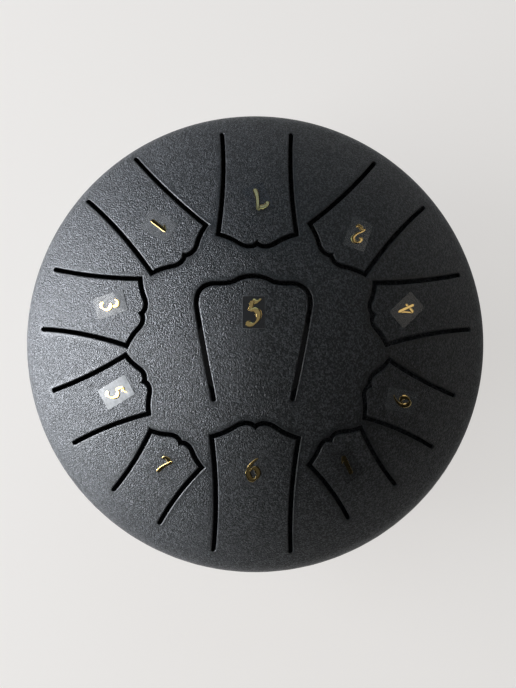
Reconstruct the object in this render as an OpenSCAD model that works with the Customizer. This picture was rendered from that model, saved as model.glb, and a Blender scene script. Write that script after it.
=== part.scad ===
// Steel tongue drum, eleven notes. Two stamped steel domes are welded at the
// equator. Eleven tongues are slit into the upper dome, each free along its
// sides and tip and held at its root. The lower dome has a round sound hole
// and stands on four push-in rubber feet. Millimetres; the origin is under the
// middle of the drum on the plane the feet stand on, +Z is up, and +Y points
// to the tongue of the low 7.

/* [Domes] */
// Diameter over the welded seam
drum_d = 254; // [210:2:320]
// Height of each dome's crown above the seam
dome_rise = 66; // [56:1:80]
// Radius of the shoulder that turns the crown down to the seam
shoulder_r = 20; // [18:1:32]
// Thickness of the steel
steel_t = 2; // [1.5:0.1:3]
// Diameter of the sound hole in the lower dome
sound_hole_d = 70; // [40:1:84]

/* [Seam] */
// Gap between the two domes that the weld fills
weld_gap = 1.6; // [0.8:0.1:2.4]
// Radius of the weld bead's round cap
weld_bead_r = 3; // [2:0.1:4]
// How far the ground bead stands proud of the domes
weld_proud = 0.3; // [0.1:0.1:0.6]

/* [Feet] */
// Number of feet
foot_count = 4; // [3:1:6]
// Distance of each foot from the drum's axis
foot_circle_r = 52; // [48:1:70]
// Height of a foot under the dome, on its own axis
foot_h = 11; // [8:0.5:18]
// Diameter of a foot where it meets the dome
foot_top_d = 20; // [15:0.5:26]
// Diameter of a foot where it stands
foot_base_d = 17; // [13:0.5:22]
// Rounding of a foot's lower edge
foot_edge = 1.5; // [0.5:0.1:3]
// Diameter of the hole that a foot's neck passes through
foot_hole_d = 8; // [6:0.1:10]
// Clearance of the neck in its hole, on the radius
foot_neck_clear = 0.1; // [0.05:0.05:0.3]
// Diameter of the barb that holds the foot from inside
foot_barb_d = 11.5; // [10.5:0.1:14]
// Diameter of the barb at its lead-in end
foot_barb_tip_d = 7; // [5:0.1:9]
// Height of the barb inside the dome, on the foot's axis
foot_barb_h = 5; // [4:0.1:8]

/* [Slots] */
// Width of the slots
slot_w = 2.2; // [1:0.1:2.6]
// Hairline relief drawn between a tongue's root and the dome
root_relief = 0.05; // [0.03:0.01:0.1]

/* [Middle tongue: low 5] */
// Direction of the root from the middle of the drum, in degrees
low_5_angle = -90; // [-180:1:180]
// Distance of the root from the middle of the drum
low_5_root_r = 32.5; // [28:0.5:34]
// Length from the root to the crest of the tip
low_5_length = 62.7; // [54:0.1:65]
// Width across the shoulders of the tip
low_5_width = 58; // [48:0.5:62]
// Width at the root
low_5_root_width = 40; // [34:0.5:44]
// Sideways shift of the whole tongue
low_5_shift = 2; // [-4:0.5:4]

/* [Tongue: low 6] */
// Direction from the middle of the drum, in degrees
low_6_angle = -91; // [-95:0.5:-85]
// Distance of the root from the seam
low_6_margin = 14; // [8:0.5:22]
// Distance of the tip's corners from the middle of the drum
low_6_tip_r = 52; // [46:0.5:62]
// Width across the corners of the tip
low_6_width = 44.5; // [34:0.5:48]

/* [Tongue: low 7] */
// Direction from the middle of the drum, in degrees
low_7_angle = 90; // [85:0.5:95]
// Distance of the root from the seam
low_7_margin = 15; // [8:0.5:22]
// Distance of the tip's corners from the middle of the drum
low_7_tip_r = 52.5; // [46:0.5:62]
// Width across the corners of the tip
low_7_width = 40.5; // [34:0.5:45]

/* [Tongue: 1] */
// Direction from the middle of the drum, in degrees
mid_1_angle = 132; // [128:0.5:135]
// Distance of the root from the seam
mid_1_margin = 9; // [8:0.5:22]
// Distance of the tip's corners from the middle of the drum
mid_1_tip_r = 60.5; // [54:0.5:70]
// Width across the corners of the tip
mid_1_width = 37.5; // [30:0.5:42]

/* [Tongue: 2] */
// Direction from the middle of the drum, in degrees
mid_2_angle = 47.5; // [44:0.5:52]
// Distance of the root from the seam
mid_2_margin = 12; // [8:0.5:22]
// Distance of the tip's corners from the middle of the drum
mid_2_tip_r = 61.5; // [54:0.5:70]
// Width across the corners of the tip
mid_2_width = 39; // [30:0.5:42]

/* [Tongue: 3] */
// Direction from the middle of the drum, in degrees
mid_3_angle = 169; // [166:0.5:172]
// Distance of the root from the seam
mid_3_margin = 13; // [8:0.5:22]
// Distance of the tip's corners from the middle of the drum
mid_3_tip_r = 65; // [58:0.5:74]
// Width across the corners of the tip
mid_3_width = 35.5; // [28:0.5:38]

/* [Tongue: 4] */
// Direction from the middle of the drum, in degrees
mid_4_angle = 10.5; // [7:0.5:13]
// Distance of the root from the seam
mid_4_margin = 12.5; // [8:0.5:22]
// Distance of the tip's corners from the middle of the drum
mid_4_tip_r = 65; // [58:0.5:74]
// Width across the corners of the tip
mid_4_width = 32.5; // [26:0.5:38]

/* [Tongue: 5] */
// Direction from the middle of the drum, in degrees
mid_5_angle = -158; // [-161:0.5:-155]
// Distance of the root from the seam
mid_5_margin = 16; // [8:0.5:24]
// Distance of the tip's corners from the middle of the drum
mid_5_tip_r = 66.5; // [60:0.5:76]
// Width across the corners of the tip
mid_5_width = 32.5; // [26:0.5:38]

/* [Tongue: 6] */
// Direction from the middle of the drum, in degrees
mid_6_angle = -23.5; // [-26:0.5:-21]
// Distance of the root from the seam
mid_6_margin = 18; // [8:0.5:26]
// Distance of the tip's corners from the middle of the drum
mid_6_tip_r = 67.5; // [60:0.5:76]
// Width across the corners of the tip
mid_6_width = 32.5; // [26:0.5:38]

/* [Tongue: 7] */
// Direction from the middle of the drum, in degrees
mid_7_angle = -125.5; // [-129:0.5:-122]
// Distance of the root from the seam
mid_7_margin = 17.5; // [8:0.5:26]
// Distance of the tip's corners from the middle of the drum
mid_7_tip_r = 71.5; // [62:0.5:78]
// Width across the corners of the tip
mid_7_width = 32.5; // [26:0.5:38]

/* [Tongue: high 1] */
// Direction from the middle of the drum, in degrees
high_1_angle = -54.5; // [-58:0.5:-51]
// Distance of the root from the seam
high_1_margin = 21.5; // [10:0.5:28]
// Distance of the tip's corners from the middle of the drum
high_1_tip_r = 69.5; // [62:0.5:78]
// Width across the corners of the tip
high_1_width = 33; // [26:0.5:38]

/* [Number films] */
// Width of the clear film that carries a number
film_w = 11.7; // [8:0.1:16]
// Length of the film
film_l = 17; // [12:0.1:22]
// Thickness of the film
film_t = 0.1; // [0.05:0.01:0.3]
// Radius of the film's corners
film_corner_r = 0.8; // [0.2:0.1:2]

/* [Hidden] */
NOTES = ["low_5", "low_6", "low_7", "1", "2", "3", "4", "5", "6", "7", "high_1"];
FEET = [for (i = [1:foot_count]) str("foot_", i)];

$fn = 144;
BLACK_COAT = [0.13, 0.14, 0.15];
RUBBER = [0.08, 0.08, 0.08];
CLEAR_FILM = [0.55, 0.57, 0.6, 0.5];

// The crown is a sphere cap and the shoulder a torus, tangent to each other.
drum_r = drum_d / 2;
shoulder_x = drum_r - shoulder_r;
crown_r = (shoulder_x * shoulder_x + dome_rise * dome_rise - shoulder_r * shoulder_r)
          / (2 * (dome_rise - shoulder_r));
crown_z = dome_rise - crown_r;
tangent_angle = atan2(shoulder_x, -crown_z);
// Radius far outside the drum, for wedges and cuts
far = drum_d;

function crown_height(r) = crown_z + sqrt(crown_r * crown_r - r * r);
// The seam's height puts the feet's soles on z = 0.
seam_z = foot_h + crown_height(foot_circle_r);

// Shares that shape an outer tongue, of half its width across the corners
root_width_share = 0.93;
waist_width_share = 0.88;
// The waist's place along the side, as a share of the length to the corners
waist_place_share = 0.4;
// Control points of the tip from the corner to the notch in its middle: half
// widths across, then depth past the corners
tip_sweep_shares = [[1, 0], [0.7, 0.08], [0.47, 0.235]];
tip_lobe_shares = [[0.47, 0.235], [0.33, 0.33], [0.21, 0.33]];
tip_notch_shares = [[0.21, 0.33], [0.08, 0.33], [0, 0.25]];

// Control points of the middle tongue: half widths across, lengths along
mid_side_shares = [[0.88, 0.423], [1, 0.757]];
mid_corner_shares = [[1, 0.757], [1.02, 0.936], [0.655, 0.941]];
mid_brow_shares = [[0.655, 0.941], [0.45, 0.936], [0.328, 0.958]];
mid_crest_shares = [[0.328, 0.958], [0.19, 1], [0, 1]];

// The numbers are stuck on by hand: each film's place along the tongue, its
// place across it in half widths, and its tilt in degrees, in NOTES' order
film_along_shares = [0.70, 0.73, 0.67, 0.70, 0.74, 0.73, 0.70, 0.73, 0.64, 0.71, 0.67];
film_across_shares = [0, -0.03, -0.03, -0.03, -0.13, -0.1, 0, -0.03, -0.01, -0.04, -0.01];
film_tilts = [0, 1, 26, 17, 22, 26, 33, 7, 14, -3, 0];

// One row for each note: direction, root distance, length, width
TONGUES = [
    [low_5_angle, low_5_root_r, low_5_length, low_5_width],
    [low_6_angle, drum_r - low_6_margin, drum_r - low_6_margin - low_6_tip_r, low_6_width],
    [low_7_angle, drum_r - low_7_margin, drum_r - low_7_margin - low_7_tip_r, low_7_width],
    [mid_1_angle, drum_r - mid_1_margin, drum_r - mid_1_margin - mid_1_tip_r, mid_1_width],
    [mid_2_angle, drum_r - mid_2_margin, drum_r - mid_2_margin - mid_2_tip_r, mid_2_width],
    [mid_3_angle, drum_r - mid_3_margin, drum_r - mid_3_margin - mid_3_tip_r, mid_3_width],
    [mid_4_angle, drum_r - mid_4_margin, drum_r - mid_4_margin - mid_4_tip_r, mid_4_width],
    [mid_5_angle, drum_r - mid_5_margin, drum_r - mid_5_margin - mid_5_tip_r, mid_5_width],
    [mid_6_angle, drum_r - mid_6_margin, drum_r - mid_6_margin - mid_6_tip_r, mid_6_width],
    [mid_7_angle, drum_r - mid_7_margin, drum_r - mid_7_margin - mid_7_tip_r, mid_7_width],
    [high_1_angle, drum_r - high_1_margin, drum_r - high_1_margin - high_1_tip_r, high_1_width],
];

function angle_of(i) = TONGUES[i][0];
function root_r_of(i) = TONGUES[i][1];
function length_of(i) = TONGUES[i][2];
function half_width_of(i) = TONGUES[i][3] / 2;

// A quadratic curve through its first and last control points, without the
// first point itself, so that curves can follow one another.
function curve(p, steps) = [for (i = [1:steps]) let (t = i / steps)
    p[0] * (1 - t) * (1 - t) + 2 * p[1] * t * (1 - t) + p[2] * t * t];

function scaled(points, unit_x, unit_y, base_y = 0) =
    [for (p = points) [p.x * unit_x, p.y * unit_y + base_y]];

// Half width of an outer tongue: two parabolas that meet at the waist.
function side_share(s) = s < waist_place_share
    ? waist_width_share + (root_width_share - waist_width_share)
      * pow((waist_place_share - s) / waist_place_share, 2)
    : waist_width_share + (1 - waist_width_share)
      * pow((s - waist_place_share) / (1 - waist_place_share), 2);

// The slot's centre line on one side of an outer tongue, from its root at
// y = 0 to the notch, in millimetres. x is across and y is along the tongue.
function outer_half(length, half) = let (steps = 6) concat(
    [for (i = [0:steps]) [half * side_share(i / steps), length * i / steps]],
    curve(scaled(tip_sweep_shares, half, half, length), 4),
    curve(scaled(tip_lobe_shares, half, half, length), 3),
    curve(scaled(tip_notch_shares, half, half, length), 3));

// The same for the middle tongue, whose tip is one low crest.
function middle_half(length, half) = concat(
    [[low_5_root_width / 2, 0]],
    curve(concat([[low_5_root_width / 2, 0]], scaled(mid_side_shares, half, length)), 5),
    curve(scaled(mid_corner_shares, half, length), 6),
    curve(scaled(mid_brow_shares, half, length), 3),
    curve(scaled(mid_crest_shares, half, length), 4));

function slot_half(i) = i == 0
    ? middle_half(length_of(i), half_width_of(i))
    : outer_half(length_of(i), half_width_of(i));

// The whole centre line, from one end of the slot round the tip to the other
function slot_line(i) = let (half = slot_half(i), last = len(half) - 1) concat(
    half, [for (k = [1:last]) [-half[last - k].x, half[last - k].y]]);

function unit(v) = v / norm(v);
function left_of(v) = [-v.y, v.x];

// The line moved sideways by d, away from the tongue where d is positive. The
// corners are mitred, and the two ends move straight across at height end_y.
function moved_line(line, d, end_y) = let (last = len(line) - 1)
    [for (k = [0:last])
        k == 0 ? [line[k].x + d, end_y]
        : k == last ? [line[k].x - d, end_y]
        : let (a = left_of(unit(line[k] - line[k - 1])),
               b = left_of(unit(line[k + 1] - line[k])))
          line[k] - d * (a + b) / (1 + a * b)];

// Puts a shape drawn in a tongue's own x and y on the drum, looking down.
module at_root(i) {
    shift = i == 0 ? -low_5_shift : 0;
    rotate(angle_of(i) + 90)
        translate([shift, -root_r_of(i)])
            children();
}

// Region between the axis and a surface that lies grow outside the dome
module dome_region(grow) {
    tangent = [sin(tangent_angle), cos(tangent_angle)];
    intersection() {
        translate([0, crown_z])
            circle(r = crown_r + grow);
        polygon([[0, 0], [shoulder_x, 0], [shoulder_x, 0] + far * tangent, [0, far]]);
    }
    intersection() {
        translate([shoulder_x, 0])
            circle(r = shoulder_r + grow);
        polygon([[shoulder_x, 0], [drum_d, 0], [shoulder_x, 0] + far * tangent]);
    }
}

// Section of a layer of the dome that starts at height low over the seam
module dome_section(outer, inner, low) {
    difference() {
        dome_region(outer);
        dome_region(inner);
        translate([-far, low - far])
            square([2 * far, far]);
    }
}

// One stamped dome, crown up, on the seam's plane
module dome() {
    rotate_extrude()
        dome_section(0, -steel_t, weld_gap / 2);
}

// Everything below is placed from the seam's plane.
module on_feet() {
    translate([0, 0, seam_z])
        children();
}

// The opening that a tongue and its slot take out of the dome
module opening(i) {
    line = slot_line(i);
    linear_extrude(height = far)
        at_root(i)
            union() {
                polygon(moved_line(line, slot_w / 2, 0));
                for (end = [line[0], line[len(line) - 1]])
                    translate(end)
                        circle(d = slot_w);
            }
}

module top_shell() {
    color(BLACK_COAT)
        on_feet()
            difference() {
                dome();
                for (i = [0:len(NOTES) - 1])
                    opening(i);
            }
}

module tongue(i) {
    color(BLACK_COAT)
        on_feet()
            intersection() {
                dome();
                linear_extrude(height = far)
                    at_root(i)
                        polygon(moved_line(slot_line(i), -slot_w / 2, root_relief));
            }
}

module sticker(i) {
    along = film_along_shares[i] * length_of(i);
    across = film_across_shares[i] * half_width_of(i);
    color(CLEAR_FILM)
        on_feet()
            intersection() {
                rotate_extrude()
                    dome_section(film_t, 0, weld_gap / 2);
                linear_extrude(height = far)
                    at_root(i)
                        translate([across, along])
                            rotate(film_tilts[i])
                                film_outline();
            }
}

// A film with round corners, centred
module film_outline() {
    inset_w = film_w / 2 - film_corner_r;
    inset_l = film_l / 2 - film_corner_r;
    square([film_w, 2 * inset_l], center = true);
    square([2 * inset_w, film_l], center = true);
    for (x = [-inset_w, inset_w], y = [-inset_l, inset_l])
        translate([x, y])
            circle(r = film_corner_r);
}

// Turns its children to each foot's place
module at_foot(i) {
    rotate((i - 1 / 2) * 360 / foot_count)
        translate([foot_circle_r, 0])
            children();
}

module bottom_shell() {
    color(BLACK_COAT)
        on_feet()
            difference() {
                mirror([0, 0, 1])
                    dome();
                translate([0, 0, -far])
                    cylinder(h = far, d = sound_hole_d);
                for (i = [1:foot_count])
                    at_foot(i)
                        translate([0, 0, -far])
                            cylinder(h = far, d = foot_hole_d);
            }
}

// The bead fills the gap between the domes and has a round ground cap.
module seam_weld() {
    color(BLACK_COAT)
        on_feet()
            rotate_extrude()
                difference() {
                    translate([drum_r + weld_proud - weld_bead_r, 0])
                        circle(r = weld_bead_r, $fn = 48);
                    translate([-far, -far / 2])
                        square([far + drum_r - steel_t, far]);
                    dome_section(0, -steel_t, weld_gap / 2);
                    mirror([0, 1])
                        dome_section(0, -steel_t, weld_gap / 2);
                }
}

// A sphere that shares the crown's centre, seen from the lower dome
module lower_ball(r) {
    translate([0, 0, seam_z - crown_z])
        sphere(r = r);
}

// A push-in foot: a pad seated on the dome, a neck through the hole and a barb
module foot(i) {
    seat_z = foot_h + foot_top_d / 2;
    inside_z = foot_h + steel_t;
    color(RUBBER) {
        difference() {
            at_foot(i)
                rotate_extrude($fn = 72)
                    polygon([[0, 0],
                             [foot_base_d / 2 - foot_edge, 0],
                             [foot_base_d / 2, foot_edge],
                             [foot_top_d / 2, foot_h],
                             [foot_top_d / 2, seat_z],
                             [0, seat_z]]);
            lower_ball(crown_r);
        }
        at_foot(i)
            translate([0, 0, foot_h / 2])
                cylinder(h = foot_h / 2 + steel_t + foot_barb_h / 2,
                         r = foot_hole_d / 2 - foot_neck_clear, $fn = 72);
        intersection() {
            at_foot(i)
                rotate_extrude($fn = 72)
                    polygon([[0, inside_z - foot_barb_d / 2],
                             [foot_barb_d / 2, inside_z - foot_barb_d / 2],
                             [foot_barb_d / 2, inside_z + foot_barb_h / 2],
                             [foot_barb_tip_d / 2, inside_z + foot_barb_h],
                             [0, inside_z + foot_barb_h]]);
            lower_ball(crown_r - steel_t);
        }
    }
}

top_shell();
bottom_shell();
seam_weld();
for (i = [1:foot_count])
    foot(i);
for (i = [0:len(NOTES) - 1])
    tongue(i);
for (i = [0:len(NOTES) - 1])
    sticker(i);
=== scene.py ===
"""Steel tongue drum: two stamped and powder-coated domes welded at the equator.

Eleven tongues are slit into the upper dome, each with a clear number film on
it. The lower dome has a round sound hole and stands on four push-in rubber
feet. Lengths are millimetres until a mesh is written, which turns them into
metres. Every outline is drawn in the plan, looking down on the drum, and is
then carried onto the domes.
"""

import logging
import math
from dataclasses import dataclass, field
from enum import Enum

import bpy
import numpy as np
from mathutils import Matrix, Vector
from mathutils.geometry import delaunay_2d_cdt


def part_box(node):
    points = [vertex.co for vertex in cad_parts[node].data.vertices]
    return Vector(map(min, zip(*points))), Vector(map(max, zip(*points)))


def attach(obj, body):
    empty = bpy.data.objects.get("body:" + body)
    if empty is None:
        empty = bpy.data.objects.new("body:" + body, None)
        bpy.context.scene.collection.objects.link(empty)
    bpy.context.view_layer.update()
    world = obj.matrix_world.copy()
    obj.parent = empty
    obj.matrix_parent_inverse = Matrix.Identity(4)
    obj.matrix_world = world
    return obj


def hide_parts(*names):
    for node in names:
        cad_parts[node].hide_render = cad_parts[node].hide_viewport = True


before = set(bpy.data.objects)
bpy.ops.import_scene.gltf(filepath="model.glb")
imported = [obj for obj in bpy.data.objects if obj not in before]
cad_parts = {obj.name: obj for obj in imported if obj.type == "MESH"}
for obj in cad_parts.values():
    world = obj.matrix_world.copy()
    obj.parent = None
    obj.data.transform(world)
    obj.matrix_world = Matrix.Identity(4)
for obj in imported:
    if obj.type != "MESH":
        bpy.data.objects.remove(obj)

Pair = tuple[float, float]
Triple = tuple[float, float, float]
Colour = Triple
Curve = tuple[int, Pair, Pair]

MM = 0.001
TINY = 1e-12
SHELL_BODY = "drum_shell"
EDGE_GRAIN = 0.45
WHITE = (1.0, 1.0, 1.0)
MIX_FIRST, MIX_SECOND, MIX_RESULT = 6, 7, 2
log = logging.getLogger("tongue_drum")


class Side(Enum):
    """Which way a dome faces."""

    UPPER = 1
    LOWER = -1


class Slot(Enum):
    """Material slots of the record."""

    COAT = "powder_coat"
    RUBBER = "rubber"
    FILM = "clear_film"
    FOIL = "gold_foil"


class Datum(Enum):
    """What the heights of a foot's profile are measured from."""

    FLOOR = "floor"
    OUTER_SKIN = "outer skin"
    INNER_SKIN = "inner skin"
    BARB = "level on which the barb rests"


class Note(Enum):
    """The eleven notes, in the order in which the tongues are cut."""

    LOW_5 = "low_5"
    LOW_6 = "low_6"
    LOW_7 = "low_7"
    MID_1 = "1"
    MID_2 = "2"
    MID_3 = "3"
    MID_4 = "4"
    MID_5 = "5"
    MID_6 = "6"
    MID_7 = "7"
    HIGH_1 = "high_1"

    @property
    def digit(self) -> str:
        """The numeral printed on the note's film."""
        return self.value[-1]


def unit(vectors: np.ndarray) -> np.ndarray:
    """Scales each row to length one."""
    return vectors / np.maximum(np.linalg.norm(vectors, axis=-1, keepdims=True), TINY)


def left_of(vectors: np.ndarray) -> np.ndarray:
    """Turns plan vectors a quarter turn counter-clockwise."""
    return np.stack([-vectors[..., 1], vectors[..., 0]], axis=-1)


def turned(plan: np.ndarray, angle: float) -> np.ndarray:
    """Turns plan points counter-clockwise round the origin."""
    c, s = math.cos(angle), math.sin(angle)
    return plan @ np.array([[c, s], [-s, c]])


def raised(plan: np.ndarray, height: np.ndarray | float = 0.0) -> np.ndarray:
    """Gives plan points or plan vectors a height."""
    return np.concatenate([plan, np.broadcast_to(height, plan.shape[:-1])[..., None]], axis=-1)


def circle(count: int, start: float = 0.0) -> np.ndarray:
    """Points of the whole unit circle, the first a share of a step past +X."""
    angle = 2 * math.pi * (np.arange(count) + start) / count
    return np.stack([np.cos(angle), np.sin(angle)], axis=-1)


def bow(sweep: float, steps: int) -> np.ndarray:
    """Points of the unit circle from +X through an angle, both ends included."""
    angle = np.linspace(0, sweep, steps + 1)
    return np.stack([np.cos(angle), np.sin(angle)], axis=-1)


def resampled(line: np.ndarray, shares: np.ndarray) -> np.ndarray:
    """Reads a polyline at shares of its length.

    Args:
        line: Points of the polyline, one a row.
        shares: Places along it, from 0 to 1.

    Returns:
        One point for each share, by linear interpolation along the length.
    """
    steps = np.linalg.norm(np.diff(line, axis=0), axis=1)
    along = np.concatenate([[0.0], np.cumsum(steps)])
    where = shares * along[-1]
    return np.stack([np.interp(where, along, axis) for axis in line.T], axis=-1)


def curves(start: Pair, bends: tuple[Curve, ...]) -> np.ndarray:
    """Quadratic curves, each of which starts where the one before it ends.

    Formula: (1 - t) squared times the start, plus twice t times (1 - t) times
    the bend, plus t squared times the end, for t from just past 0 to 1.

    Args:
        start: First point.
        bends: Number of steps, bend and end of each curve.

    Returns:
        The start and every curve's points.
    """
    line = [np.array([start], float)]
    for steps, bend, end in bends:
        p = np.array([line[-1][-1], bend, end], float)
        t = np.linspace(0, 1, steps + 1)[1:, None]
        line.append(p[0] * (1 - t) ** 2 + 2 * p[1] * t * (1 - t) + p[2] * t * t)
    return np.concatenate(line)


def inside(loop: np.ndarray, points: np.ndarray) -> np.ndarray:
    """Tells which plan points lie inside a closed loop.

    Formula: a point is inside if a line from it along x crosses the loop's
    edges an odd number of times.

    Args:
        loop: Closed plan loop.
        points: Plan points, one a row.

    Returns:
        Whether each point is inside.
    """
    a, b = loop, np.roll(loop, -1, axis=0)
    x, y = points[:, 0, None], points[:, 1, None]
    spans = (a[None, :, 1] > y) != (b[None, :, 1] > y)
    rise = np.where(b[:, 1] == a[:, 1], TINY, b[:, 1] - a[:, 1])
    cross = a[None, :, 0] + (y - a[None, :, 1]) * (b[:, 0] - a[:, 0])[None] / rise[None]
    return (spans & (x < cross)).sum(axis=1) % 2 == 1


def strip_quads(rows: np.ndarray, closed: bool) -> np.ndarray:
    """Joins neighbouring rows of vertex numbers with quads.

    Args:
        rows: Vertex numbers, one row for each line of vertices.
        closed: Whether the last vertex of a row joins its first.

    Returns:
        Quads that run from each row to the next.
    """
    nxt = np.roll(rows, -1, axis=1) if closed else rows[:, 1:]
    cur = rows if closed else rows[:, :-1]
    return np.stack([cur[:-1], nxt[:-1], nxt[1:], cur[1:]], axis=-1).reshape(-1, 4)


@dataclass
class MeshParts:
    """Points, normals and faces that are gathered before a mesh is written."""

    points: list = field(default_factory=list)
    normals: list = field(default_factory=list)
    masks: list = field(default_factory=list)
    faces: list = field(default_factory=list)
    count: int = 0

    def add(self, points: np.ndarray, normals: np.ndarray, mask: np.ndarray | float) -> np.ndarray:
        """Adds vertices.

        Args:
            points: Places in millimetres, one a row.
            normals: Normals, one a row.
            mask: Value of the piece's mask attribute at each vertex.

        Returns:
            The numbers of the new vertices.
        """
        n = len(points)
        self.points.append(points)
        self.normals.append(normals)
        self.masks.append(np.broadcast_to(mask, (n,)))
        self.count += n
        return np.arange(self.count - n, self.count)

    def join(self, faces: np.ndarray, flip: bool = False) -> None:
        """Adds triangles or quads by vertex number, turned over if flip is set."""
        self.faces.append(faces[:, ::-1] if flip else faces)

    def strip(self, rows: list[np.ndarray], closed: bool = True, flip: bool = False) -> None:
        """Joins neighbouring rows of vertices with quads."""
        self.join(strip_quads(np.array(rows), closed), flip)

    def fan(self, pole: np.ndarray, ring: np.ndarray, flip: bool) -> None:
        """Joins a pole with the closed ring round it."""
        faces = [np.broadcast_to(pole, ring.shape), ring, np.roll(ring, -1)]
        self.join(np.stack(faces, axis=-1), flip)

    def write(self, name: str, mask_name: str) -> bpy.types.Object:
        """Writes the mesh into a new object at the origin.

        Args:
            name: Name of the object.
            mask_name: Name of the point attribute that holds the mask.

        Returns:
            The object, in metres, with its normals set.
        """
        mesh = bpy.data.meshes.new(name)
        mesh.vertices.add(self.count)
        mesh.vertices.foreach_set("co", (np.concatenate(self.points) * MM).ravel())
        sizes = np.concatenate([np.full(len(f), f.shape[1]) for f in self.faces])
        mesh.loops.add(int(sizes.sum()))
        mesh.loops.foreach_set("vertex_index", np.concatenate([f.ravel() for f in self.faces]))
        mesh.polygons.add(len(sizes))
        mesh.polygons.foreach_set("loop_start", np.concatenate([[0], np.cumsum(sizes)[:-1]]))
        mesh.polygons.foreach_set("use_smooth", np.ones(len(sizes), bool))
        mesh.update(calc_edges=True)
        mesh.validate()
        mask = mesh.attributes.new(mask_name, "FLOAT", "POINT")
        mask.data.foreach_set("value", np.concatenate(self.masks).astype(np.float32))
        mesh.normals_split_custom_set_from_vertices(unit(np.concatenate(self.normals)).tolist())
        piece = bpy.data.objects.new(name, mesh)
        bpy.context.scene.collection.objects.link(piece)
        return piece


@dataclass(frozen=True)
class Dome:
    """A stamped dome: a sphere cap crown and a torus shoulder, tangent.

    Depth is measured inwards from the outer skin, square to it. Heights are
    over the floor for both domes.
    """

    side: Side
    drum_r: float
    rise: float
    shoulder_r: float
    steel: float
    seam_z: float
    rim_height: float

    @property
    def shoulder_x(self) -> float:
        """Radius of the circle on which the shoulder's arcs have their centres."""
        return self.drum_r - self.shoulder_r

    @property
    def crown_r(self) -> float:
        """Radius of the crown's sphere."""
        span = self.shoulder_x**2 + self.rise**2 - self.shoulder_r**2
        return span / (2 * (self.rise - self.shoulder_r))

    @property
    def crown_z(self) -> float:
        """Height of the crown's centre over the seam, towards the crown."""
        return self.rise - self.crown_r

    @property
    def tangent(self) -> float:
        """Angle from the axis at which the crown meets the shoulder."""
        return math.atan2(self.shoulder_x, -self.crown_z)

    def radii(self, depth: float) -> Pair:
        """Radii of the crown's ball and of the shoulder's arc at a depth."""
        return self.crown_r - depth, self.shoulder_r - depth

    def height(self, radius: np.ndarray, depth: float) -> np.ndarray:
        """Height over the seam of the skin at a depth.

        Formula: the crown is its centre's height plus the root of its radius
        squared less the plan radius squared, and the shoulder is the root of
        its radius squared less the squared distance from its centre circle.

        Args:
            radius: Plan radii.
            depth: Depth under the outer skin.

        Returns:
            Heights over the seam, before the lower dome is mirrored.
        """
        ball, roll = self.radii(depth)
        crown = self.crown_z + np.sqrt(np.maximum(ball**2 - radius**2, 0))
        shoulder = np.sqrt(np.maximum(roll**2 - (radius - self.shoulder_x) ** 2, 0))
        return np.where(radius < ball * math.sin(self.tangent), crown, shoulder)

    def arc_of(self, radius: np.ndarray, depth: float) -> np.ndarray:
        """Length along the skin from the crown's middle to a plan radius.

        Args:
            radius: Plan radii.
            depth: Depth under the outer skin.

        Returns:
            Lengths along the skin.
        """
        ball, roll = self.radii(depth)
        on_crown = ball * np.arcsin(np.clip(radius / ball, -1, 1))
        turn = np.arcsin(np.clip((radius - self.shoulder_x) / roll, -1, 1))
        on_shoulder = ball * self.tangent + roll * (turn - self.tangent)
        return np.where(radius < ball * math.sin(self.tangent), on_crown, on_shoulder)

    def radius_of(self, arc: np.ndarray, depth: float) -> np.ndarray:
        """Plan radius at a length along the skin from the crown's middle.

        Args:
            arc: Lengths along the skin.
            depth: Depth under the outer skin.

        Returns:
            Plan radii.
        """
        ball, roll = self.radii(depth)
        turn = self.tangent + (arc - ball * self.tangent) / roll
        on_shoulder = self.shoulder_x + roll * np.sin(turn)
        return np.where(arc < ball * self.tangent, ball * np.sin(arc / ball), on_shoulder)

    def rim_radius(self, depth: float) -> float:
        """Plan radius of the dome's cut rim on the skin at a depth."""
        return self.shoulder_x + math.sqrt((self.shoulder_r - depth) ** 2 - self.rim_height**2)

    def place(
        self, plan: np.ndarray, depth: float = 0.0, drop: np.ndarray | float = 0.0
    ) -> np.ndarray:
        """Carries plan points onto the skin at a depth.

        Args:
            plan: Plan points.
            depth: Depth of the skin under the outer one.
            drop: Distance straight down from that skin, into the drum.

        Returns:
            Points in the drum's frame.
        """
        level = self.height(np.linalg.norm(plan, axis=-1), depth) - drop
        return raised(plan, self.seam_z + self.side.value * level)

    def normal(self, plan: np.ndarray, depth: float = 0.0) -> np.ndarray:
        """Normals of the skin at a depth, all towards the drum's outside.

        Formula: the crown's normal leans by the arc sine of the plan radius
        over the ball's, and the shoulder's by that of the distance from its
        centre circle over its own radius.

        Args:
            plan: Plan points.
            depth: Depth of the skin under the outer one.

        Returns:
            One unit normal for each point.
        """
        radius = np.linalg.norm(plan, axis=-1)
        ball, roll = self.radii(depth)
        lean = np.where(
            radius < ball * math.sin(self.tangent),
            np.clip(radius / ball, 0, 1),
            np.clip((radius - self.shoulder_x) / roll, -1, 1),
        )
        up = self.side.value * np.sqrt(np.maximum(1 - lean**2, 0))
        return raised(unit(plan) * lean[..., None], up)


@dataclass(frozen=True)
class EdgeRow:
    """One row of vertices of a rounded edge.

    Offset goes into the material, drop is under the outer skin or over the
    inner one, and angle turns the normal from the wall's to the skin's.
    """

    offset: float
    drop: float
    outer: bool
    angle: float


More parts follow.
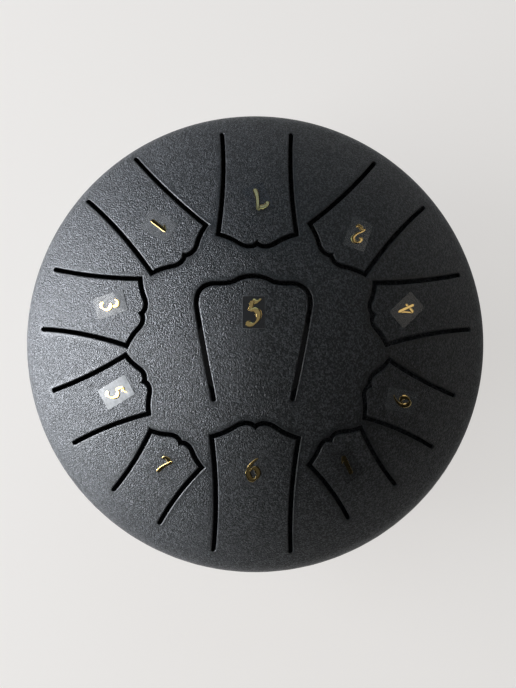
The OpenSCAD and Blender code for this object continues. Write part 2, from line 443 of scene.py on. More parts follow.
@dataclass(frozen=True)
class EdgeProfile:
    """Rounding of an edge that is cut through the steel and then coated."""

    outer_round: float = 0.75
    inner_round: float = 0.2
    outer_steps: int = 4
    inner_steps: int = 2

    def rows(self) -> list[EdgeRow]:
        """Rows from the outer skin to the inner one.

        Formula: the offset is the radius times one less the cosine of the
        angle, and the drop is the radius times one less its sine.

        Returns:
            The rows, outermost first.
        """
        turns = [(True, 1 - k / self.outer_steps) for k in range(self.outer_steps + 1)]
        turns += [(False, k / self.inner_steps) for k in range(self.inner_steps + 1)]
        rows = []
        for outer, share in turns:
            angle = math.pi / 2 * share
            radius = self.outer_round if outer else self.inner_round
            offset, drop = radius * (1 - math.cos(angle)), radius * (1 - math.sin(angle))
            rows.append(EdgeRow(offset, drop, outer, angle if outer else -angle))
        return rows


def edge_row(
    parts: MeshParts, dome: Dome, plan: np.ndarray, row: EdgeRow, outwards: float,
    grain: np.ndarray | float,
) -> np.ndarray:
    """Adds one row of vertices of a rounded cut edge.

    Args:
        parts: Mesh that takes the vertices.
        dome: Dome that is cut.
        plan: Closed plan loop of the row, counter-clockwise.
        row: The row of the edge's profile.
        outwards: 1 where the loop's inside is the opening, and -1 where it is
            the material.
        grain: Share of the skin's grain that the outer edge keeps.

    Returns:
        The vertex numbers.
    """
    depth = 0.0 if row.outer else dome.steel
    tangent = unit(np.roll(plan, -1, axis=0) - np.roll(plan, 1, axis=0))
    wall = raised(outwards * left_of(tangent))
    normals = wall * math.cos(row.angle) + dome.normal(plan, depth) * math.sin(row.angle)
    points = dome.place(plan, depth, row.drop if row.outer else -row.drop)
    return parts.add(points, normals, grain if row.outer else 0.0)


@dataclass(frozen=True)
class PiercedDome:
    """A dome with openings cut straight down through it."""

    dome: Dome
    profile: EdgeProfile
    spacing: float = 2.6
    clearance_share: float = 0.55
    least_ring: int = 6
    rim_count: int = 360
    merge_gap: float = 1e-6
    sliver_area: float = 1e-9

    def filling(self, depth: float, loops: list[np.ndarray]) -> np.ndarray:
        """Plan points that fill the skin between its rim and the openings.

        Formula: rings at even lengths along the skin, each with points about
        as far apart as the rings, turned by half a step from one ring to the
        next. Points in an opening or close to its edge are left out.

        Args:
            depth: Depth of the skin.
            loops: Plan loops of the openings.

        Returns:
            The points that are kept.
        """
        rim_arc = float(self.dome.arc_of(np.array(self.dome.rim_radius(depth)), depth))
        rings = int(rim_arc / self.spacing)
        points = [np.zeros((1, 2))]
        for k in range(1, rings):
            radius = float(self.dome.radius_of(np.array(rim_arc * k / rings), depth))
            count = max(self.least_ring, round(2 * math.pi * radius / self.spacing))
            points.append(radius * circle(count, 0.5 * (k % 2)))
        plan = np.concatenate(points)
        keep = np.ones(len(plan), bool)
        for loop in loops:
            gap = np.linalg.norm(plan[:, None] - loop[None], axis=-1).min(axis=1)
            keep &= (gap > self.spacing * self.clearance_share) & ~inside(loop, plan)
        return plan[keep]

    def skin(
        self, parts: MeshParts, depth: float, loops: list[np.ndarray], numbers: list[np.ndarray]
    ) -> np.ndarray:
        """Triangulates one skin of the dome between its rim and the openings.

        The triangles are found on the unrolled skin, where a point lies at its
        own bearing, at its length along the skin from the crown's middle.

        Args:
            parts: Mesh that takes the vertices and faces.
            depth: Depth of the skin.
            loops: Plan loops of the openings on this skin.
            numbers: Vertex numbers of those loops.

        Returns:
            Vertex numbers of the rim.
        """
        rim = self.dome.rim_radius(depth) * circle(self.rim_count)
        added = np.concatenate([rim, self.filling(depth, loops)])
        facing = 1 if depth == 0 else -1
        normals = self.dome.normal(added, depth) * facing
        fresh = parts.add(self.dome.place(added, depth), normals, 1.0)
        plan = np.concatenate([*loops, added])
        index = np.concatenate([*numbers, fresh])
        flat = unit(plan) * self.dome.arc_of(np.linalg.norm(plan, axis=1), depth)[:, None]
        starts = np.cumsum([0] + [len(loop) for loop in loops])
        rings = [*zip(starts, map(len, loops)), (starts[-1], self.rim_count)]
        edges = [(s + k, s + (k + 1) % n) for s, n in rings for k in range(n)]
        corners = [Vector(p) for p in flat]
        _, _, faces, origin, _, _ = delaunay_2d_cdt(corners, edges, [], 0, self.merge_gap, True)
        source = np.array([o[0] for o in origin])
        tri = source[np.array([f for f in faces if len(f) == 3])]
        middle = plan[tri].mean(axis=1)
        for loop in loops:
            keep = ~inside(loop, middle)
            tri, middle = tri[keep], middle[keep]
        a, b, c = (flat[tri[:, k]] for k in range(3))
        area = (b[:, 0] - a[:, 0]) * (c[:, 1] - a[:, 1]) - (b[:, 1] - a[:, 1]) * (c[:, 0] - a[:, 0])
        tri = np.where((area < 0)[:, None], tri[:, ::-1], tri)
        tri = tri[np.abs(area) > self.sliver_area]
        parts.join(index[tri], flip=(self.dome.side is Side.LOWER) != (depth > 0))
        return fresh[: self.rim_count]

    def build(
        self, name: str, openings: list[list[np.ndarray]], grains: list[np.ndarray | float]
    ) -> bpy.types.Object:
        """Builds the dome as one closed mesh.

        Args:
            name: Name of the piece.
            openings: For each opening, its plan loop at each profile row.
            grains: For each opening, the share of the grain that its edge keeps.

        Returns:
            The piece.
        """
        parts = MeshParts()
        profile = self.profile.rows()
        rows = [
            [edge_row(parts, self.dome, plan, row, 1.0, grain) for plan, row in zip(loops, profile)]
            for loops, grain in zip(openings, grains)
        ]
        rims = [
            self.skin(parts, depth, [loops[k] for loops in openings], [own[k] for own in rows])
            for k, depth in ((0, 0.0), (-1, self.dome.steel))
        ]
        below = self.dome.side is Side.LOWER
        for numbers in rows:
            parts.strip(numbers, flip=below)
        parts.strip(rims, flip=not below)
        return parts.write(name, "grain")


@dataclass(frozen=True)
class TongueOutline:
    """The slot's centre line round a tongue, in the tongue's own plan.

    x runs across the tongue and y from its root to its tip, which points to
    the drum's middle. Shares are of half the width across, and of the length
    along. The petal's curves are shares of half the width both ways.
    """

    length: float
    half: float
    slot: float = 2.2
    side_points: int = 44
    tip_points: int = 30
    root_points: int = 24
    bow_points: int = 12
    side_samples: int = 61
    root_width_share: float = 0.93
    waist_width_share: float = 0.88
    waist_place_share: float = 0.4
    petal: tuple[Curve, ...] = (
        (16, (0.7, 0.08), (0.47, 0.235)),
        (12, (0.33, 0.33), (0.21, 0.33)),
        (14, (0.08, 0.33), (0, 0.25)),
    )
    least_rise: float = 0.3
    smooth_cosine: float = 0.9
    near: float = 1e-3

    @property
    def root_half(self) -> float:
        """Half the width between the slots' centre lines at the root."""
        return self.half * self.root_width_share

    def side_line(self) -> np.ndarray:
        """Centre line from the root to the tip's corner.

        Formula: half the width falls as a parabola from the root to the waist
        and rises as another from the waist to the corner.

        Returns:
            Points from the root to the corner.
        """
        s = np.linspace(0, 1, self.side_samples)
        waist, place = self.waist_width_share, self.waist_place_share
        low = waist + (self.root_width_share - waist) * ((place - s) / place) ** 2
        high = waist + (1 - waist) * ((s - place) / (1 - place)) ** 2
        return np.stack([self.half * np.where(s < place, low, high), self.length * s], axis=-1)

    def tip_line(self) -> np.ndarray:
        """Centre line from the tip's corner to the notch in its middle."""
        return curves((1, 0), self.petal) * self.half + [0, self.length]

    def half_row(self, offset: float) -> tuple[np.ndarray, np.ndarray]:
        """Right half of the outline moved sideways.

        Each point moves along the line's normal. Where the side and the tip
        meet, and in the tip's middle, the moved lines are cut or mitred.

        Args:
            offset: Distance away from the tongue, or towards it if negative.

        Returns:
            Points of the side and of the half tip, each evenly spaced.
        """
        side, tip = self.side_line(), self.tip_line()
        side_out, tip_out = (-left_of(unit(np.gradient(line, axis=0))) for line in (side, tip))
        side_out[0] = [1, 0]
        cosine = side_out[-1] @ tip_out[0]
        corner = side[-1] + offset * (side_out[-1] + tip_out[0]) / (1 + cosine)
        middle = tip[-1] + offset * np.array([0, 1 / max(tip_out[-1, 1], self.least_rise)])
        side_row, tip_row = side + offset * side_out, tip + offset * tip_out
        if cosine < self.smooth_cosine:
            side_row = side_row[side_row[:, 1] < corner[1] - self.near]
            tip_row = tip_row[tip_row[:, 0] < corner[0] - self.near]
        else:
            side_row, tip_row = side_row[:-1], tip_row[1:]
        tip_row = tip_row[:-1]
        past = np.nonzero(tip_row[:, 0] <= 0)[0]
        if len(past):
            a, b = tip_row[past[0] - 1], tip_row[past[0]]
            middle = a + (b - a) * a[0] / (a[0] - b[0])
            tip_row = tip_row[: past[0]]
        side_full = np.concatenate([side_row, [corner]])
        tip_full = np.concatenate([[corner], tip_row, [[0, middle[1]]]])
        s = np.linspace(0, 1, self.side_points + 1)
        t = np.linspace(0, 1, self.tip_points + 1)
        return resampled(side_full, s), resampled(tip_full, t)

    def around(self, offset: float) -> np.ndarray:
        """Whole outline from the right root round the tip to the left root.

        Args:
            offset: Distance away from the tongue, or towards it if negative.

        Returns:
            Points, counter-clockwise.
        """
        side, tip = self.half_row(offset)
        half = np.concatenate([side, tip[1:]])
        return np.concatenate([half, half[-2::-1] * [-1, 1]])

    def opening_loop(self, offset: float) -> np.ndarray:
        """Loop of the opening that the slot leaves round a tongue.

        The slot's two ends are half circles beyond the root, and between them
        runs the root line.

        Args:
            offset: Distance from the slot's wall into the dome's steel.

        Returns:
            The closed loop, counter-clockwise.
        """
        reach = self.slot / 2 + offset
        end = -reach * bow(math.pi, self.bow_points)
        left, right = end + [-self.root_half, 0], end + [self.root_half, 0]
        across = np.linspace(-1, 1, self.root_points + 1)[1:-1, None]
        root = across * [self.root_half - reach, 0]
        return np.concatenate([self.around(reach), left[1:], root, right[:-1]])

    def opening_grain(self) -> np.ndarray:
        """Share of the grain kept round the opening: all of it at the root.

        Returns:
            One share for each point of the opening's loop.
        """
        kept = np.full(len(self.opening_loop(0.0)), EDGE_GRAIN)
        start = len(kept) - self.bow_points - self.root_points + 1
        kept[start : start + self.root_points - 1] = 1.0
        return kept

    def tongue_line(self, offset: float, relief: float) -> np.ndarray:
        """Edge of the tongue itself, with its root moved in by relief.

        Args:
            offset: Distance from the slot's wall into the tongue's steel.
            relief: Distance of the root from the root line.

        Returns:
            Points from the right root round the tip to the left root.
        """
        line = self.around(-self.slot / 2 - offset)
        line[[0, -1], 1] = relief
        return line


@dataclass(frozen=True)
class MiddleOutline(TongueOutline):
    """Outline of the middle tongue, whose tip is one low crest.

    Its shares are of half the width across and of the length along.
    """

    root_width: float = 40.0
    tip_points: int = 44
    shoulder: Pair = (1, 0.757)
    side_bend: Curve = (60, (0.88, 0.423), (1, 0.757))
    crest: tuple[Curve, ...] = (
        (24, (1.02, 0.936), (0.655, 0.941)),
        (12, (0.45, 0.936), (0.328, 0.958)),
        (14, (0.19, 1), (0, 1)),
    )

    @property
    def root_half(self) -> float:
        """Half the width between the slots' centre lines at the root."""
        return self.root_width / 2

    def side_line(self) -> np.ndarray:
        """Centre line from the root to the tip's round shoulder."""
        root = (self.root_half / self.half, 0)
        return curves(root, (self.side_bend,)) * [self.half, self.length]

    def tip_line(self) -> np.ndarray:
        """Centre line from the shoulder over the brow to the crest."""
        return curves(self.shoulder, self.crest) * [self.half, self.length]


@dataclass(frozen=True)
class Layout:
    """Where a tongue and its number film lie.

    The film's place is shares of the tongue's length and half width, and its
    tilt is in degrees. Only the middle tongue is shifted sideways.
    """

    bearing: float
    root_r: float
    length: float
    width: float
    film_along: float
    film_across: float
    film_tilt: float
    shift: float = 0.0

    def to_plan(self, local: np.ndarray) -> np.ndarray:
        """Turns a tongue's own plan points to their place on the drum."""
        return turned(local + [self.shift, -self.root_r], math.radians(self.bearing + 90))

    def outline(self) -> TongueOutline:
        """The slot's outline for this tongue."""
        return (MiddleOutline if self.shift else TongueOutline)(self.length, self.width / 2)

    def film_plan(self, local: np.ndarray) -> np.ndarray:
        """Turns points of the film's own plan to their place on the drum."""
        centre = [self.film_across * self.width / 2, self.film_along * self.length]
        return self.to_plan(turned(local, math.radians(self.film_tilt)) + centre)


LAYOUTS = {
    Note.LOW_5: Layout(-90, 32.5, 62.7, 58, 0.70, 0, 0, shift=-2),
    Note.LOW_6: Layout(-91, 113, 61, 44.5, 0.73, -0.03, 1),
    Note.LOW_7: Layout(90, 112, 59.5, 40.5, 0.67, -0.03, 26),
    Note.MID_1: Layout(132, 118, 57.5, 37.5, 0.70, -0.03, 17),
    Note.MID_2: Layout(47.5, 115, 53.5, 39, 0.74, -0.13, 22),
    Note.MID_3: Layout(169, 114, 49, 35.5, 0.73, -0.1, 26),
    Note.MID_4: Layout(10.5, 114.5, 49.5, 32.5, 0.70, 0, 33),
    Note.MID_5: Layout(-158, 111, 44.5, 32.5, 0.73, -0.03, 7),
    Note.MID_6: Layout(-23.5, 109, 41.5, 32.5, 0.64, -0.01, 14),
    Note.MID_7: Layout(-125.5, 109.5, 38, 32.5, 0.71, -0.04, -3),
    Note.HIGH_1: Layout(-54.5, 105.5, 36, 33, 0.67, -0.01, 0),
}


@dataclass(frozen=True)
class Tongue:
    """A steel tongue with rounded, coated edges."""

    note: Note
    layout: Layout
    dome: Dome
    profile: EdgeProfile
    relief: float = 0.05

    def patch(self, line: np.ndarray, n: int, m: int) -> np.ndarray:
        """A grid of points that fills a tongue.

        Formula: the blend of the two sides and of the root and the tip, less
        the blend of the four corners, with each boundary read at its points.

        Args:
            line: The tongue's edge in its own plan, from root to root.
            n: Steps along the tongue.
            m: Steps across it.

        Returns:
            Points by row from the root to the tip and by column from left to
            right.
        """
        right, tip = line[: n + 1], line[n : n + m + 1][::-1]
        left = line[n + m : 2 * n + m + 1][::-1]
        u = np.linspace(0, 1, m + 1)[None, :, None]
        v = np.linspace(0, 1, n + 1)[:, None, None]
        root = left[0] + (right[0] - left[0]) * u[0]
        sides = (1 - u) * left[:, None] + u * right[:, None]
        ends = (1 - v) * root[None] + v * tip[None]
        near, far = ((1 - u) * left[k] + u * right[k] for k in (0, -1))
        return sides + ends - ((1 - v) * near + v * far)

    def boundary(self, numbers: np.ndarray) -> np.ndarray:
        """Vertex numbers round a patch, counter-clockwise from its right root."""
        tip, left = numbers[-1, -2::-1], numbers[-2::-1, 0]
        return np.concatenate([numbers[:, -1], tip, left, numbers[0, 1:-1]])

    def build(self) -> bpy.types.Object:
        """Builds the tongue as one closed mesh, with a full root on top only.

        Returns:
            The piece.
        """
        outline = self.layout.outline()
        n, m = outline.side_points, 2 * outline.tip_points
        parts, rows = MeshParts(), []
        profile = self.profile.rows()
        skins = {0: (0.0, 1.0), len(profile) - 1: (self.dome.steel, -1.0)}
        across = np.linspace(-1, 1, m + 1)[1:-1, None]
        for k, row in enumerate(profile):
            relief = 0.0 if k == 0 else self.relief
            line = outline.tongue_line(row.offset, relief)
            if k in skins:
                depth, facing = skins[k]
                grid = self.layout.to_plan(self.patch(line, n, m).reshape(-1, 2))
                normals = facing * self.dome.normal(grid, depth)
                numbers = parts.add(self.dome.place(grid, depth), normals, 1.0).reshape(n + 1, -1)
                parts.strip(numbers, closed=False, flip=k > 0)
                rows.append(self.boundary(numbers))
                continue
            root = np.concatenate([across * line[0, 0], np.full_like(across, relief)], axis=1)
            plan = self.layout.to_plan(np.concatenate([line, root]))
            rows.append(edge_row(parts, self.dome, plan, row, -1.0, EDGE_GRAIN))
        parts.strip(rows, flip=True)
        return parts.write(f"tongue_plate_{self.note.value}", "grain")


@dataclass(frozen=True)
class Sticking:
    """How a film lies on its tongue.

    Numeral is the height of what is printed on it. Cover is how much it hides of
    the coat under the film's near black colour, which is partly painted shade
    for a dark reflection. Haze is how cloudy it is, together with a painted
    reflection of a bright window. Lift is the height of an air bubble under it,
    and wave is the depth of its creases. The bubble's place is in the film's plan.
    """

    numeral: float = 9.3
    cover: float = 0.2
    haze_and_reflection: float = 0.0
    wave: float = 0.02
    phase: float = 0.0
    lift: float = 0.0
    lift_at: Pair = (0.0, 0.0)
    lift_size: float = 3.0


# Set film by film. Each film's haze is set to the brightness that its reflection gives it, so it
# paints a reflection as well as cloudiness, and the reflection is brightest on films 3 and 5. On
# low_5, a high cover over little haze paints the film dark where it reflects only darkness.
STICKING = {
    Note.LOW_5: Sticking(12.4, 0.85, 0.06, 0.006),
    Note.LOW_6: Sticking(11, 0.12, 0.5, 0.006, 1.1),
    Note.LOW_7: Sticking(12, 0.2, 0.25, 0.02, 2.0),
    Note.MID_1: Sticking(10, 0.3, 0.75, 0.02, 0.4),
    Note.MID_2: Sticking(9.3, 0.45, 0.8, 0.02, 2.9),
    Note.MID_3: Sticking(9.3, 0.65, 0.7, 0.04, 0.7, lift=0.42, lift_at=(-0.6, 5.0), lift_size=3.4),
    Note.MID_4: Sticking(9.3, 0.5, 0.55, 0.02, 1.7),
    Note.MID_5: Sticking(9.3, 0.92, 1.0, 0.03, 2.4, lift=0.16, lift_at=(4.4, 6.4), lift_size=2.4),
    Note.MID_6: Sticking(9.3, 0.35, 0.8, 0.02, 0.9),
    Note.MID_7: Sticking(9.3, 0.1, 0.4, 0.03, 1.5),
    Note.HIGH_1: Sticking(10.5, 0.12, 0.1, 0.01, 2.2),
}


@dataclass(frozen=True)
class NumberFilm:
    """A clear film with round corners, stuck on a tongue by hand."""

    note: Note
    layout: Layout
    dome: Dome
    sticking: Sticking
    width: float = 11.7
    length: float = 17.0
    thickness: float = 0.1
    corner_r: float = 0.8
    crease: float = 5.5
    crease_runs: tuple[Pair, Pair] = ((2.3, 1.1), (-0.8, 2.9))
    probe: float = 0.05
    bow_points: int = 8
    rings: int = 20
    under_step: int = 3
    around: int = 160

    def outline(self) -> np.ndarray:
        """Rectangle with a quarter circle at each corner, counter-clockwise.

        Returns:
            Points of the film's own plan, evenly spaced.
        """
        corner = self.corner_r * bow(math.pi / 2, self.bow_points)
        reach = np.array([self.width / 2 - self.corner_r, self.length / 2 - self.corner_r])
        signs = [(1, 1), (-1, 1), (-1, -1), (1, -1)]
        loop = [turned(corner, math.pi / 2 * k) + reach * sign for k, sign in enumerate(signs)]
        shares = np.linspace(0, 1, self.around + 1)[:-1]
        return resampled(np.concatenate([*loop, loop[0][:1]]), shares)

    def lift(self, local: np.ndarray) -> np.ndarray:
        """Height of the film's underside over the tongue.

        Formula: a bell whose height falls off with the squared distance from
        the bubble, plus shallow creases, a product of two sines.

        Args:
            local: Points of the film's own plan.

        Returns:
            One height for each point.
        """
        state = self.sticking
        away = ((local - state.lift_at) ** 2).sum(axis=-1) / state.lift_size**2
        x, y = local[..., 0] / self.crease, local[..., 1] / self.crease
        (a, b), (c, d) = self.crease_runs
        creases = np.sin(a * x + b * y + state.phase) * np.sin(d * y + c * x + 2 * state.phase)
        return state.lift * np.exp(-away) + state.wave * (1 + creases)

    def surface(self, local: np.ndarray, over: float) -> np.ndarray:
        """Points at a height over the film's underside.

        Args:
            local: Points of the film's own plan.
            over: Height over the underside.

        Returns:
            Points in the drum's frame.
        """
        plan = self.layout.film_plan(local)
        rise = (self.lift(local) + over)[..., None]
        return self.dome.place(plan) + self.dome.normal(plan) * rise

    def normals(self, local: np.ndarray) -> np.ndarray:
        """Normals of the film, from small steps across and along it.

        Args:
            local: Points of the film's own plan.

        Returns:
            Unit normals, away from the tongue.
        """
        across, along = (
            self.surface(local + step, 0.0) - self.surface(local - step, 0.0)
            for step in self.probe * np.eye(2)
        )
        return unit(np.cross(across, along))

    def build(self) -> bpy.types.Object:
        """Builds the film: rings from its middle to its rounded edge.

        Returns:
            The piece.
        """
        parts, rows = MeshParts(), []
        loop, middle = self.outline(), np.zeros((1, 2))
        rim = self.thickness / 2
        inset = 1 - rim / (self.width / 2)
        top = parts.add(self.surface(middle, self.thickness), self.normals(middle), 0.0)
        for k in range(1, self.rings + 1):
            local = loop * inset * k / self.rings
            mask = 1.0 if k == self.rings else 0.0
            rows.append(parts.add(self.surface(local, self.thickness), self.normals(local), mask))
        out = self.layout.film_plan(loop) - self.layout.film_plan(middle)
        rows.append(parts.add(self.surface(loop, rim), raised(unit(out)), 1.0))
        rows.append(parts.add(self.surface(loop, 0.0), -self.normals(loop), 1.0))
        below = parts.add(self.surface(middle, 0.0), -self.normals(middle), 0.0)
        for k in range(self.rings - 1, 0, -self.under_step):
            local = loop * k / self.rings
            rows.append(parts.add(self.surface(local, 0.0), -self.normals(local), 0.0))
        parts.strip(rows, flip=True)
        parts.fan(top, rows[0], flip=False)
        parts.fan(below, rows[-1], flip=True)
        piece = parts.write(f"number_film_{self.note.value}", "edge")
        for name, value in (("haze_and_reflection", self.sticking.haze_and_reflection), ("cover", self.sticking.cover)):
            layer = piece.data.attributes.new(name, "FLOAT", "POINT")
            layer.data.foreach_set("value", np.full(parts.count, value, np.float32))
        return piece


PEN_STROKES: dict[str, tuple[tuple[Pair, ...], ...]] = {
    "1": (
        ((-0.20, 0.74), (-0.08, 0.84), (0.06, 1.0)),
        ((0.07, 1.0), (0.03, 0.72), (-0.03, 0.34), (-0.08, 0.0)),
    ),
    "2": (
        ((-0.12, 0.68), (-0.24, 0.74), (-0.16, 0.95), (0.08, 1.0), (0.22, 0.82), (0.12, 0.55),
         (-0.10, 0.30), (-0.28, 0.06)),
        ((-0.28, 0.06), (-0.14, 0.13), (0.06, 0.04), (0.20, 0.02), (0.28, 0.13)),
    ),
    "3": (
        ((-0.22, 0.84), (-0.06, 0.99), (0.16, 0.90), (0.13, 0.66), (-0.06, 0.55)),
        ((-0.06, 0.55), (0.14, 0.50), (0.22, 0.28), (0.08, 0.04), (-0.14, 0.0), (-0.26, 0.12)),
    ),
    "4": (
        ((0.26, 1.0), (-0.02, 0.68), (-0.34, 0.36)),
        ((-0.34, 0.34), (-0.06, 0.32), (0.28, 0.35)),
        ((0.25, 0.98), (0.10, 0.50), (-0.06, 0.0)),
    ),
    "5": (
        ((-0.06, 0.97), (0.08, 0.93), (0.20, 0.97), (0.30, 1.06)),
        ((-0.05, 0.97), (-0.10, 0.76), (-0.14, 0.56)),
        ((-0.14, 0.56), (0.04, 0.60), (0.20, 0.46), (0.18, 0.22), (0.02, 0.03), (-0.16, 0.0),
         (-0.28, 0.12)),
    ),
    "6": (
        ((0.22, 1.02), (0.02, 0.88), (-0.18, 0.62), (-0.24, 0.32), (-0.14, 0.08), (0.02, 0.0),
         (0.18, 0.12), (0.24, 0.32), (0.14, 0.52), (-0.02, 0.54), (-0.16, 0.40)),
    ),
    "7": (
        ((-0.26, 0.78), (-0.22, 0.92), (-0.04, 0.95), (0.12, 0.92), (0.27, 0.97)),
        ((0.27, 0.97), (0.12, 0.66), (0.0, 0.34), (-0.05, 0.0)),
    ),
}


@dataclass(frozen=True)
class Numeral:
    """A numeral written with a broad pen and printed in gold foil.

    The strokes' points, the nib and its hairline are in numeral heights. Each
    stroke's slab lies a hair higher than the one before it.
    """

    film: NumberFilm
    nib: float = 0.265
    hair: float = 0.08
    nib_angle: float = 38.0
    taper_share: float = 0.06
    taper_least: float = 0.35
    foil: float = 0.03
    stacking: float = 0.004
    inset: float = 0.25
    edge_lean: float = 0.6
    face_lean: float = 0.04
    steps: int = 72

    def spine(self, points: tuple[Pair, ...]) -> np.ndarray:
        """Smooth line through a stroke's points.

        Formula: between two points the line is the cubic whose ends have half
        the difference of their neighbours as slopes.

        Args:
            points: Points of the stroke, in numeral heights.

        Returns:
            Points of the line, in numeral heights.
        """
        p = np.array(points)
        p = np.concatenate([[2 * p[0] - p[1]], p, [2 * p[-1] - p[-2]]])
        t = np.linspace(0, len(points) - 1, self.steps + 1)
        k = np.minimum(t.astype(int), len(points) - 2)
        s = (t - k)[:, None]
        a, b, c, d = (p[k + step] for step in range(4))
        bend, twist = 2 * a - 5 * b + 4 * c - d, 3 * b - a - 3 * c + d
        return 0.5 * (2 * b + (c - a) * s + bend * s**2 + twist * s**3)

    def ribbon(self, points: tuple[Pair, ...]) -> tuple[np.ndarray, np.ndarray]:
        """Both edges of a stroke in the film's own plan.

        Formula: half the width is half a hairline plus half the nib times the
        sine of the angle between the stroke's direction and the nib, and it
        falls with the root of the distance towards both ends.

        Args:
            points: Points of the stroke, in numeral heights.

        Returns:
            Points of the left edge and of the right one.
        """
        share = np.linspace(0, 1, self.steps + 1)
        line = resampled(self.spine(points), share)
        heading = unit(np.gradient(line, axis=0))
        nib = math.radians(self.nib_angle)
        across = np.abs(heading[:, 0] * math.sin(nib) - heading[:, 1] * math.cos(nib))
        near_end = np.minimum(share, 1 - share) / self.taper_share
        taper = np.clip(near_end, self.taper_least, 1) ** 0.5
        half = 0.5 * (self.hair + (self.nib - self.hair) * across) * taper
        side = left_of(heading) * half[:, None]
        size, centre = self.film.sticking.numeral, np.array([0.0, 0.5])
        return (line + side - centre) * size, (line - side - centre) * size

    def build(self) -> bpy.types.Object:
        """Builds the numeral as thin slabs of foil on the film.

        Returns:
            The piece.
        """
        parts, film = MeshParts(), self.film
        low = film.thickness / 2
        for number, points in enumerate(PEN_STROKES[film.note.digit]):
            left, right = self.ribbon(points)
            top = film.thickness + self.foil + self.stacking * number
            rows = []
            face = ((self.inset, top), (1 - self.inset, top))
            for share, over in ((0, low), (0, top), *face, (1, top), (1, low)):
                line = left + (right - left) * share
                side = film.layout.film_plan(line) - film.layout.film_plan((left + right) / 2)
                lean = raised(unit(side)) * (self.edge_lean if share in (0, 1) else self.face_lean)
                rows.append(parts.add(film.surface(line, over), film.normals(line) + lean, 0.0))
            parts.strip([*rows, rows[0]], closed=False, flip=True)
            for end, flip in ((0, True), (-1, False)):
                parts.join(np.array([[row[end] for row in rows]]), flip=flip)
        return parts.write(f"numeral_{film.note.value}", "edge")


@dataclass(frozen=True)
class SeamBead:
    """The weld between the domes, ground nearly flush and coated over.

    Each swell is a number of waves round the seam, a share and a phase.
    """

    upper: Dome
    cap_r: float = 3.0
    proud: float = 0.3
    cap_half_angle: float = 30.0
    cap_rows: int = 9
    gap: float = 1.6
    web_overlap: float = 0.2
    web_clear: float = 0.05
    web_leans: Pair = (135.0, 225.0)
    ripple: float = 0.05
    swells: tuple[Triple, ...] = ((61, 1.0, 0.0), (137, 0.6, 1.3), (23, 0.4, 0.4))
    around: int = 720

    def build(self) -> bpy.types.Object:
        """Builds the bead as a ring.

        Formula: a circle cap carried round the seam, whose radius swells and
        falls by a sum of three sines, closed by a web in the gap.

        Returns:
            The piece.
        """
        parts, rows = MeshParts(), []
        turn = 2 * math.pi * np.arange(self.around) / self.around
        wave = sum(share * np.sin(waves * turn + phase) for waves, share, phase in self.swells) / 2
        half = self.cap_half_angle
        for angle in np.radians(np.linspace(-half, half, self.cap_rows)):
            swell = self.ripple * (wave - 1) * math.cos(3 * angle)
            reach = self.upper.drum_r + self.proud - self.cap_r + self.cap_r * math.cos(angle)
            rows.append(self.ring(parts, reach + swell, self.cap_r * math.sin(angle), angle))
        web = np.full(self.around, self.upper.drum_r - self.upper.steel + self.web_overlap)
        reach = self.gap / 2 - self.web_clear
        for level, lean in zip((reach, -reach), self.web_leans):
            rows.append(self.ring(parts, web, level, math.radians(lean)))
        parts.strip([*rows, rows[0]])
        return parts.write("weld_bead", "grain")

    def ring(self, parts: MeshParts, radius: np.ndarray, level: float, lean: float) -> np.ndarray:
        """Adds one ring of vertices and gives their numbers.

        Args:
            parts: Mesh that takes the vertices.
            radius: Radius at each vertex.
            level: Height over the seam.
            lean: Angle of the normals over the horizon.

        Returns:
            The vertex numbers.
        """
        bearing = circle(self.around)
        points = raised(bearing * radius[:, None], self.upper.seam_z + level)
        return parts.add(points, raised(bearing * math.cos(lean), math.sin(lean)), 1.0)


